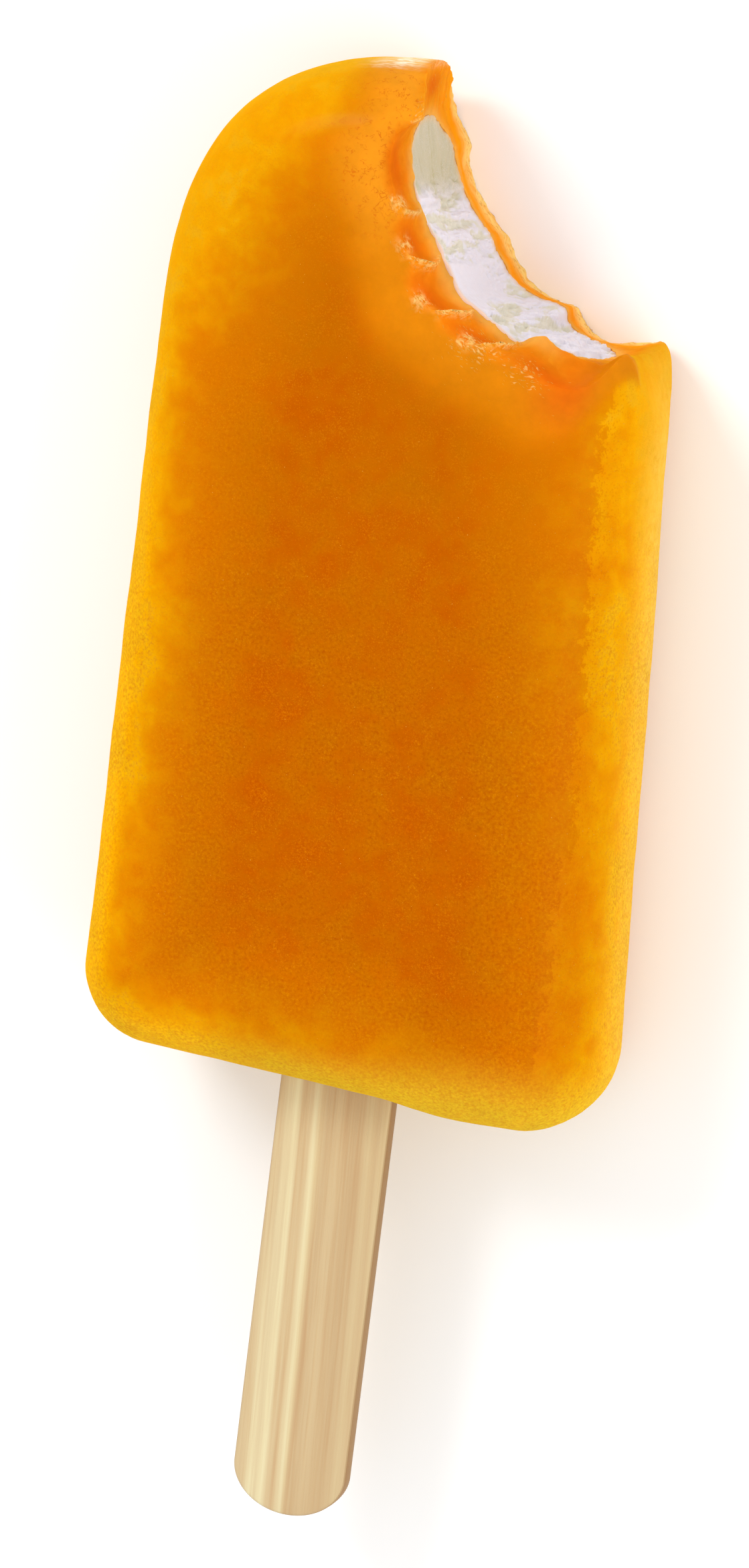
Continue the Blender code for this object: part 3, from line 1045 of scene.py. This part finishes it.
def fruitIceMaterial(softBlotch, frostGrain):
    material, tree, shader = newMaterial("fruitIce", Specular_IOR_Level=0.0, IOR=1.31, Subsurface_Weight=0.22,
                                         Subsurface_Scale=0.0016, Subsurface_Radius=(1.0, 0.45, 0.12),
                                         Sheen_Weight=0.01, Sheen_Roughness=0.35,
                                         Sheen_Tint=(1.0, 0.8, 0.5, 1.0), Coat_Roughness=0.2)
    place = inMillimetres(tree)
    looks = painted(iceLooks)
    wide = useEffect(tree, softBlotch, Vector=place, Size=iceLooks["wideSize"]).outputs[0]
    narrow = useEffect(tree, softBlotch, Vector=place, Size=iceLooks["narrowSize"]).outputs[0]
    ragged = noisy(place, iceLooks["raggedSize"], 3.0, 0.7)
    # painted light through the ice: lighter where the ice is thin, deep orange where it is thick
    depth = mask(tree, "depth")
    # the border between thin and deep ice is ragged, and wanders a little
    speckle = noisy(place, iceLooks["speckleSize"], 1.5, 0.7)
    coarse = swung(speckle, mask(tree, "coarse"))
    shift = plus(swung(ragged, 0.15), times(coarse, 0.6))
    shift = plus(shift, swung(wide, iceLooks["wideShift"]), swung(narrow, iceLooks["narrowShift"]))
    deep = plus(depth, times(shift, stepped(depth, 0.0, 0.16, 0.15, 1.0)))
    # the golden band starts with a step, in a stencilled, dotted line
    band = mask(tree, "band")
    torn = noisy(place, iceLooks["bandTearSize"], 5.0, 0.78, 0.4)
    unsure = plus(band, swung(torn, 0.62))
    onBand = stepped(unsure, 0.48, 0.52)
    near = flipped(maths("ABSOLUTE", minus(times(band, 2.0), 1.0)))
    jump = minus(0.05, times(onBand, 0.17))
    deep = plus(deep, times(jump, maths("POWER", near, 2.0)))
    stops = [(at, paint(*colour)) for at, colour in iceLooks["depthColours"]]
    colour = ramped(deep, stops)
    cells = put(tree, "ShaderNodeTexVoronoi", {"Vector": place, "Scale": 3.4})
    alongEdge = times(onBand, stepped(unsure, 0.70, 0.52))
    dotted = times(stepped(cells.outputs["Distance"], 0.40, 0.26), alongEdge)
    colour = mixed(times(dotted, 0.45), colour, looks["dot"])
    # pale sides: frost, with painted sheen where the sides are seen edge-on
    sideFrostAndSheen = plus(0.7, swung(ragged, 1.2))
    colour = mixed(mask(tree, "paleSide", sideFrostAndSheen), colour, looks["paleSide"])
    # painted light on the thin foot
    colour = mixed(mask(tree, "foot", 0.88), colour, looks["foot"])
    mottle = plus(swung(narrow, 0.07), swung(ragged, 0.16), times(coarse, 0.55))
    cloud = swung(wide, 0.14)
    # painted glow on the thin left side and foot, with random mottle and cloud; it multiplies the colour
    # below
    glow = mask(tree, "glow", 0.08)
    glowAndMottle = plus(1.0, glow, plus(mottle, cloud))
    frost = useEffect(tree, frostGrain, Vector=place, Size=iceLooks["grainSize"], Amount=0.75)
    dry = flipped(mask(tree, "wet"))
    flecks = times(frost.outputs["Mask"], times(dry, 0.45))
    colour = mixed(flecks, colour, looks["fleck"])
    # the wet zone round the bite, with short darker wrinkles
    halo = stepped(mask(tree, "wet"), 0.0, 0.6, 0.0, 0.75)
    colour = mixed(halo, colour, looks["halo"])
    wetColour = mixed(mask(tree, "wrinkled"), looks["wet"], looks["wetTip"])
    colour = mixed(stepped(mask(tree, "wet"), 0.3, 0.95), colour, wetColour)
    lines = noisy(place, iceLooks["wrinkleSize"], 1.0, 0.5, 0.6)
    thin = maths("ABSOLUTE", minus(lines, 0.5))
    broken = stepped(noisy(place, 0.8, 1.0), 0.50, 0.58)
    strokes = times(stepped(thin, 0.04, 0.01), broken, mask(tree, "wet", mask(tree, "wrinkled")))
    colour = mixed(times(strokes, 0.8), colour, looks["stroke"])
    # the bitten face: red in its hollows, the ice's own colour with painted shade, pale on its ridges and
    # next to the core
    sweep = put(tree, "ShaderNodeAttribute", attribute_name="sweep").outputs["Vector"]
    combed = put(tree, "ShaderNodeMapping", {"Vector": sweep, "Scale": (0.28, 1.0, 1.0)}).outputs[0]
    streak = noisy(combed, iceLooks["streakSize"], 3.0, 0.6, 0.4)
    cutColour = mixed(stepped(streak, 0.35, 0.7), looks["cut"], looks["wetTip"])
    # painted light: brighter orange on the shaded back half of the bitten face
    cutColour = mixed(mask(tree, "farCutLight"), cutColour, looks["farCutLight"])
    colour = mixed(mask(tree, "cut"), colour, cutColour)
    redness = mask(tree, "red", stepped(streak, 0.15, 0.5, 0.75, 1.0))
    colour = mixed(redness, colour, looks["red"])
    colour = mixed(mask(tree, "coreEdge", 0.8), colour, looks["coreEdge"])
    flake = stepped(noisy(place, 0.5, 2.0, 0.7), 0.38, 0.6)
    colour = mixed(mask(tree, "crest", flake), colour, looks["crest"])
    # painted light: the back rim is painted pale and bright, as light comes through the thin ice
    rimLight = mask(tree, "backRimLight", stepped(streak, 0.3, 0.55, 0.45, 1.0))
    colour = mixed(rimLight, colour, looks["backRimLight"])
    hair = noisy(combed, iceLooks["hairSize"], 1.0, 0.5, 0.5)
    hairs = stepped(plus(hair, mask(tree, "slivers", 0.24)), 0.68, 0.82)
    hairs = times(hairs, stepped(mask(tree, "slivers"), 0.04, 0.25))
    colour = mixed(times(hairs, 0.7), colour, looks["sliver"])
    brushed = noisy(inMillimetres(tree, 0.0, (0.35, 2.0, 1.0)), 0.5, 2.0, 0.6)
    frosted = mask(tree, "frost", stepped(brushed, 0.42, 0.6, 0.3, 1.0))
    colour = mixed(frosted, colour, looks["frost"])
    yellower = plus(glowAndMottle, times(coarse, 0.8))
    shade = put(tree, "ShaderNodeCombineColor", {0: glowAndMottle, 1: yellower, 2: glowAndMottle}).outputs[0]
    colour = mixed(1.0, colour, shade, "MULTIPLY")
    wetness = maths("MAXIMUM", mask(tree, "wet"), mask(tree, "cut"))
    skinWet = mask(tree, "wet", flipped(mask(tree, "cut")))
    feed(tree, shader, Base_Color=colour, Roughness=stepped(wetness, 0.0, 1.0, 0.55, 0.3),
         Coat_Weight=plus(times(skinWet, 0.06), 0.01))
    # relief: crystals on the dry skin, wrinkles on the wet one
    grainHeight = times(frost.outputs["Height"], times(dry, 0.05))
    wrinkles = minus(times(hairs, 0.05), times(strokes, 0.06))
    lumps = times(noisy(place, iceLooks["lumpSize"], 2.0), 0.10)
    height = plus(grainHeight, wrinkles, lumps)
    addRelief(tree, shader, height, 0.5, 0.001)
    return material


creamLooks = {
    "high": (242, 235, 244),
    "deep": (235, 227, 206),
    "tipHigh": (204, 193, 160),
    "tipDeep": (192, 180, 136),
    "rimGlowTint": (250, 190, 120),
    "grainSize": 0.16,
    "cloudSize": 2.2,
}


def iceCreamMaterial(softBlotch, frostGrain):
    material, tree, shader = newMaterial("iceCream", Specular_IOR_Level=0.25, Subsurface_Weight=0.35,
                                         Subsurface_Scale=0.0012, Subsurface_Radius=(1.0, 0.85, 0.7))
    place = inMillimetres(tree)
    looks = painted(creamLooks)
    cloud = useEffect(tree, softBlotch, Vector=place, Size=creamLooks["cloudSize"]).outputs[0]
    frost = useEffect(tree, frostGrain, Vector=place, Size=creamLooks["grainSize"], Amount=0.8)
    proud = plus(mask(tree, "proud"), swung(cloud, 0.35))
    upper = stepped(proud, 0.18, 0.44)
    low = mixed(upper, looks["deep"], looks["high"])
    # towards the tip the cream is greener, and darker there as painted shade
    tip = mixed(upper, looks["tipDeep"], looks["tipHigh"])
    colour = mixed(mask(tree, "low"), tip, low)
    colour = mixed(times(frost.outputs["Mask"], 0.35), colour, looks["high"])
    # painted glow: orange light from the fruit ice tints the rim of the core
    glowShare = times(maths("POWER", mask(tree, "rimGlow"), 2.0), 0.55)
    colour = mixed(glowShare, colour, looks["rimGlowTint"])
    feed(tree, shader, Base_Color=colour, Roughness=stepped(proud, 0.2, 0.9, 0.5, 0.32))
    addRelief(tree, shader, times(frost.outputs["Height"], 0.04), 0.4, 0.001)
    return material


woodLooks = {
    "cream": (242, 228, 182),
    "light": (231, 209, 160),
    "tan": (214, 180, 134),
    "brown": (199, 157, 111),
    "edge": (160, 116, 66),
    "shaded": (204, 170, 124),
    "streakWidth": 2.2,
    "grainWidth": 0.3,
    # broad stripes across the stick, from -5.5 to 5.5 mm; the light one at 5.0 mm is a painted highlight
    # along the right edge
    "stripes": [(-5.4, "tan"), (-4.8, "cream"), (-3.4, "cream"), (-2.8, "tan"), (-2.0, "tan"),
                (-1.4, "cream"), (-0.9, "light"), (-0.3, "brown"), (0.7, "tan"), (2.4, "brown"),
                (3.1, "tan"), (3.8, "light"), (4.6, "tan"), (5.0, "light")],
}


def bareWoodMaterial(softBlotch):
    material, tree, shader = newMaterial("bareWood", Specular_IOR_Level=0.2, Roughness=0.55)
    looks = painted(woodLooks)
    place = inMillimetres(tree, -stick["turn"], (1.0, 0.012, 1.0))
    fine = inMillimetres(tree, -stick["turn"], (1.0, 0.02, 1.0))
    wide = noisy(place, woodLooks["streakWidth"], 2.0, 0.6, 0.0)
    narrow = noisy(fine, woodLooks["grainWidth"], 3.0, 0.6)
    streak = plus(times(wide, 0.7), times(narrow, 0.3))
    colour = ramped(streak, [(0.38, looks["brown"]), (0.45, looks["tan"]), (0.495, looks["light"]),
                                   (0.54, looks["cream"]), (0.60, looks["light"]), (0.65, looks["tan"])])
    across = put(tree, "ShaderNodeSeparateXYZ", {0: place}).outputs["X"]
    wander = plus(across, swung(wide, 2.2))
    stripes = [((at + 5.5) / 11.0, looks[tone]) for at, tone in woodLooks["stripes"]]
    broad = ramped(maths("DIVIDE", plus(wander, 6.0), 11.0), stripes)
    colour = mixed(0.65, colour, broad)
    softPlace = inMillimetres(tree, 0.0, (1.0, 0.3, 1.0))
    cloud = useEffect(tree, softBlotch, Vector=softPlace, Size=6.0).outputs[0]
    colour = mixed(times(cloud, 0.12), colour, looks["tan"])
    # painted shade: darker towards the right of the stick
    toRight = plus(across, swung(cloud, 3.0))
    colour = mixed(stepped(toRight, -3.5, 3.5, 0.0, 0.45), colour, looks["shaded"])
    # painted shade: the stick's narrow sides, found by the way they face, are painted dark brown
    normal = tree.nodes.new("ShaderNodeNewGeometry").outputs["True Normal"]
    facing = put(tree, "ShaderNodeSeparateXYZ", {0: normal})
    side = stepped(maths("ABSOLUTE", facing.outputs["Z"]), 0.75, 0.35)
    colour = mixed(times(side, 0.85), colour, looks["edge"])
    feed(tree, shader, Base_Color=colour)
    addRelief(tree, shader, narrow, 0.25, 0.0004)
    return material


crystalLooks = {
    "gold": (232, 144, 26),
    "pale": (242, 170, 68),
}


def frostCrystalMaterial(softBlotch):
    material, tree, shader = newMaterial("frostCrystal", Roughness=0.35, Specular_IOR_Level=0.12, IOR=1.31,
                                         Subsurface_Weight=0.3, Subsurface_Scale=0.0004)
    place = inMillimetres(tree)
    cloud = useEffect(tree, softBlotch, Vector=place, Size=0.9).outputs[0]
    fine = noisy(place, 0.3, 1.0)
    tone = stepped(plus(times(cloud, 0.4), times(fine, 0.6)), 0.3, 0.7)
    looks = painted(crystalLooks)
    feed(tree, shader, Base_Color=mixed(tone, looks["gold"], looks["pale"]))
    addRelief(tree, shader, fine, 0.2, 0.0001)
    return material


# Frost, shards and air rings, grown on the shell with Geometry Nodes

# these two use the names of the tree's inputs
grains = {
    "Density": 0.6,              # on each square millimetre
    "Smallest": 0.018,
    "Largest": 0.045,
    "Length": 1.3,
    "Flatness": 0.5,
    "Turn": math.pi,             # how far each may be turned from the pull of the teeth
    "Seed": 7,
}
slivers = {
    "Density": 22.0,
    "Smallest": 0.014,
    "Largest": 0.034,
    "Length": 6.0,
    "Flatness": 0.5,
    "Turn": 0.5,
    "Seed": 12,
}
airRings = {
    # across and up from the foot's middle, radius
    "places": [(18.6, 17.0, 0.44), (20.1, 24.1, 0.28), (19.7, 22.9, 0.34), (6.4, 13.9, 0.30),
               (16.7, 9.1, 0.34), (18.6, 9.3, 0.28), (17.6, 4.3, 0.28), (12.9, 16.8, 0.26),
               (21.0, 17.0, 0.22), (21.1, 9.9, 0.20), (21.5, 16.3, 0.18), (22.3, 23.7, 0.24),
               (-9.5, 33.0, 0.22), (-4.0, 12.5, 0.24)],
    "thickness": 0.16,
    "around": 14,
    "section": 6,
}


def named(tree, label, kind="FLOAT"):
    return put(tree, "GeometryNodeInputNamedAttribute", {"Name": label}, data_type=kind).outputs[0]


def randomValue(tree, seed, low, high):
    return put(tree, "FunctionNodeRandomValue", {2: low, 3: high, "Seed": seed}, data_type="FLOAT").outputs[1]


def scatterTree(densityMask, avoidMask):
    sockets = [(n, "NodeSocketFloat", 1.0) for n in
               ("Density", "Smallest", "Largest", "Length", "Flatness", "Turn")]
    sockets += [("Seed", "NodeSocketInt", 0), ("Material", "NodeSocketMaterial", None)]
    tree, given, out = newNodesTree("scatteredIce", sockets)
    side = given.outputs

    density = times(side["Density"], named(tree, densityMask))
    if avoidMask:
        density = times(density, flipped(named(tree, avoidMask)))
    spread = put(tree, "GeometryNodeDistributePointsOnFaces",
                 {"Mesh": side["Geometry"], "Density": density, "Seed": side["Seed"]})
    spare = minus(side["Largest"], side["Smallest"])
    chance = randomValue(tree, plus(side["Seed"], 1.0), 0.0, 1.0)
    size = plus(side["Smallest"], times(spare, chance))
    shape = put(tree, "ShaderNodeCombineXYZ", {"X": times(size, side["Length"]), "Y": size,
                                               "Z": times(size, side["Flatness"])})
    # flat on the surface, and lengthwise with the pull of the teeth
    facing = put(tree, "FunctionNodeAlignRotationToVector", {"Rotation": spread.outputs["Rotation"],
                                                             "Vector": named(tree, "pull", "FLOAT_VECTOR")},
                 axis="X", pivot_axis="Z")
    crystal = put(tree, "GeometryNodeMeshIcoSphere", {"Radius": 1.0, "Subdivisions": 1})
    placed = put(tree, "GeometryNodeInstanceOnPoints", {
        "Points": spread.outputs["Points"],
        "Instance": crystal.outputs["Mesh"],
        "Rotation": facing.outputs[0],
        "Scale": shape.outputs[0],
    })
    swing = times(randomValue(tree, plus(side["Seed"], 2.0), -1.0, 1.0), side["Turn"])
    turn = put(tree, "ShaderNodeCombineXYZ", {"Z": swing})
    turned = put(tree, "GeometryNodeRotateInstances", {"Instances": placed.outputs[0],
                                                       "Rotation": turn.outputs[0]})
    return endTree(tree, out, turned.outputs[0], side["Material"])


def scatterOn(host, name, sizes, densityMask, avoidMask, material):
    made = objectFrom(name, host.data.copy())
    growNodes(made, scatterTree(densityMask, avoidMask), {**sizes, "Material": material})
    print(name + ":", len(made.data.polygons), "faces")
    return made


def ringTree():
    sockets = [("Thickness", "NodeSocketFloat", 0.2), ("Around", "NodeSocketInt", 12),
               ("Section", "NodeSocketInt", 6), ("Material", "NodeSocketMaterial", None)]
    tree, given, out = newNodesTree("airRings", sockets)
    side = given.outputs
    loop = put(tree, "GeometryNodeCurvePrimitiveCircle", {"Resolution": side["Around"], "Radius": 1.0})
    section = put(tree, "GeometryNodeCurvePrimitiveCircle", {"Resolution": side["Section"],
                                                             "Radius": side["Thickness"]})
    tube = put(tree, "GeometryNodeCurveToMesh", {"Curve": loop.outputs[0],
                                                 "Profile Curve": section.outputs[0]})
    points = put(tree, "GeometryNodeMeshToPoints", {"Mesh": side["Geometry"]})
    placed = put(tree, "GeometryNodeInstanceOnPoints", {"Points": points.outputs[0],
                                                        "Instance": tube.outputs[0],
                                                        "Scale": named(tree, "radius")})
    return endTree(tree, out, placed.outputs[0], side["Material"])


def makeAirRings(host, material):
    spots, radii = [], []
    for x, height, radius in airRings["places"]:
        above = (x, height + body["footY"], 60.0)
        spots.append(tuple(host.ray_cast(above, (0, 0, -1))[1]))
        radii.append(radius)
    mesh = meshFrom("airRings", spots, [])
    layer = mesh.attributes.new("radius", "FLOAT", "POINT")
    layer.data.foreach_set("value", radii)
    made = growNodes(objectFrom("airRings", mesh), ringTree(), {
        "Thickness": airRings["thickness"],
        "Around": airRings["around"],
        "Section": airRings["section"],
        "Material": material,
    })
    print("air rings:", len(made.data.polygons), "faces")
    return made


# Camera, light and floor

view = {
    "azimuth": math.radians(17.0),
    "elevation": math.radians(9.0),
    "roll": 0.0971,
    "distance": 600.0,
    "aim": (-0.726, -7.508),         # how far the aim point is right and up of the body's middle
    "middle": (0.0, 9.26, 12.0),
    "pixelsPerMm": 16.427,
    "pictureHeight": 2362,
    "sensor": 36.0,
}


def makeCamera():
    az, el = view["azimuth"], view["elevation"]
    backward = Vector((math.sin(az) * math.cos(el), math.sin(el), math.cos(az) * math.cos(el)))
    right = Vector((0, 1, 0)).cross(backward).normalized()
    up = backward.cross(right)
    turn = view["roll"]
    rightward = right * math.cos(turn) + up * math.sin(turn)
    upward = up * math.cos(turn) - right * math.sin(turn)
    target = Vector(view["middle"]) + rightward * view["aim"][0] + upward * view["aim"][1]
    data = bpy.data.cameras.new("camera")
    data.sensor_fit = "VERTICAL"
    data.sensor_height = view["sensor"]
    data.lens = view["pixelsPerMm"] * view["distance"] / view["pictureHeight"] * view["sensor"]
    made = objectFrom("camera", data)
    axes = Matrix((rightward, upward, backward)).transposed().to_4x4()
    made.matrix_world = Matrix.Translation((target + backward * view["distance"]) * mm) @ axes
    bpy.context.scene.camera = made


lamps = [
    # name, place, width, power
    ("keyLamp", (-0.42, 0.50, 0.70), 0.3, 3.0),
    ("sideLamp", (0.60, -0.15, 0.40), 0.5, 1.75),
]
skyStrength = 0.92


def makeLight():
    for name, place, width, power in lamps:
        data = bpy.data.lights.new(name, "AREA")
        data.shape = "SQUARE"
        data.size = width
        data.energy = power
        made = objectFrom(name, data)
        made.location = place
        made.rotation_euler = Vector(place).to_track_quat("Z", "Y").to_euler()
    world = bpy.data.worlds.new("softSky")
    world.use_nodes = True
    background = world.node_tree.nodes["Background"]
    background.inputs["Color"].default_value = (1.0, 1.0, 1.0, 1.0)
    background.inputs["Strength"].default_value = skyStrength
    bpy.context.scene.world = world
    bpy.context.scene.view_settings.view_transform = "Standard"
    bpy.context.scene.view_settings.look = "None"


floorLooks = {
    "halfWidth": 2.0,
    "tones": ((0.94, 0.94, 0.94, 1.0), (0.96, 0.96, 0.96, 1.0)),
    "cloudSize": 0.4,
}


def makeFloor():
    half = floorLooks["halfWidth"]
    corners = [(-half, -half, 0), (half, -half, 0), (half, half, 0), (-half, half, 0)]
    mesh = meshFrom("floor", corners, [(0, 1, 2, 3)])
    floor = objectFrom("floor", mesh)
    material, tree, shader = newMaterial("paleFloor", Specular_IOR_Level=0.1, Roughness=0.8)
    place = tree.nodes.new("ShaderNodeTexCoord").outputs["Object"]
    cloud = noisy(place, floorLooks["cloudSize"], 2.0)
    feed(tree, shader, Base_Color=mixed(cloud, *floorLooks["tones"]))
    mesh.materials.append(material)


# Put together

makeCamera()
makeLight()
makeFloor()
print("camera, light and floor ready")

softBlotch = makeSoftBlotch()
frostGrain = makeFrostGrain()
fruitIce = fruitIceMaterial(softBlotch, frostGrain)
iceCream = iceCreamMaterial(softBlotch, frostGrain)
bareWood = bareWoodMaterial(softBlotch)

slotCutter = makeStick("slot", stick["slotGrow"], bareWood)
shell = makeShell(slotCutter)
core = makeCore(slotCutter)
dropObject(slotCutter)
woodenStick = makeStick("stick", 0.0, bareWood)

for made, material, masks in ((shell, fruitIce, maskShell), (core, iceCream, maskCore)):
    masks(made.data)
    made.data.materials.clear()
    made.data.materials.append(material)

frostCrystal = frostCrystalMaterial(softBlotch)
frostGrains = scatterOn(shell, "frostGrains", grains, "grainy", "cut", frostCrystal)
iceSlivers = scatterOn(shell, "iceSlivers", slivers, "slivers", None, frostCrystal)
rings = makeAirRings(shell, frostCrystal)

sharpDegrees = 55.0          # edges that turn more than this are drawn sharp
for made, name, node, slot in (
    (shell, "fruit_ice_skin", "fruit_ice_shell", "fruit_ice"),
    (core, "ice_cream_filling", "ice_cream_core", "ice_cream"),
    (woodenStick, "lolly_stick", "wooden_stick", "wood"),
    (frostGrains, "frost_grains", None, "fruit_ice"),
    (iceSlivers, "ice_slivers", None, "fruit_ice"),
    (rings, "air_rings", None, "fruit_ice"),
):
    toFrame(made, name)
    made.data.set_sharp_from_angle(angle=math.radians(sharpDegrees))
    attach(made, "root")
    if node:
        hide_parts(node)
print("pieces placed")
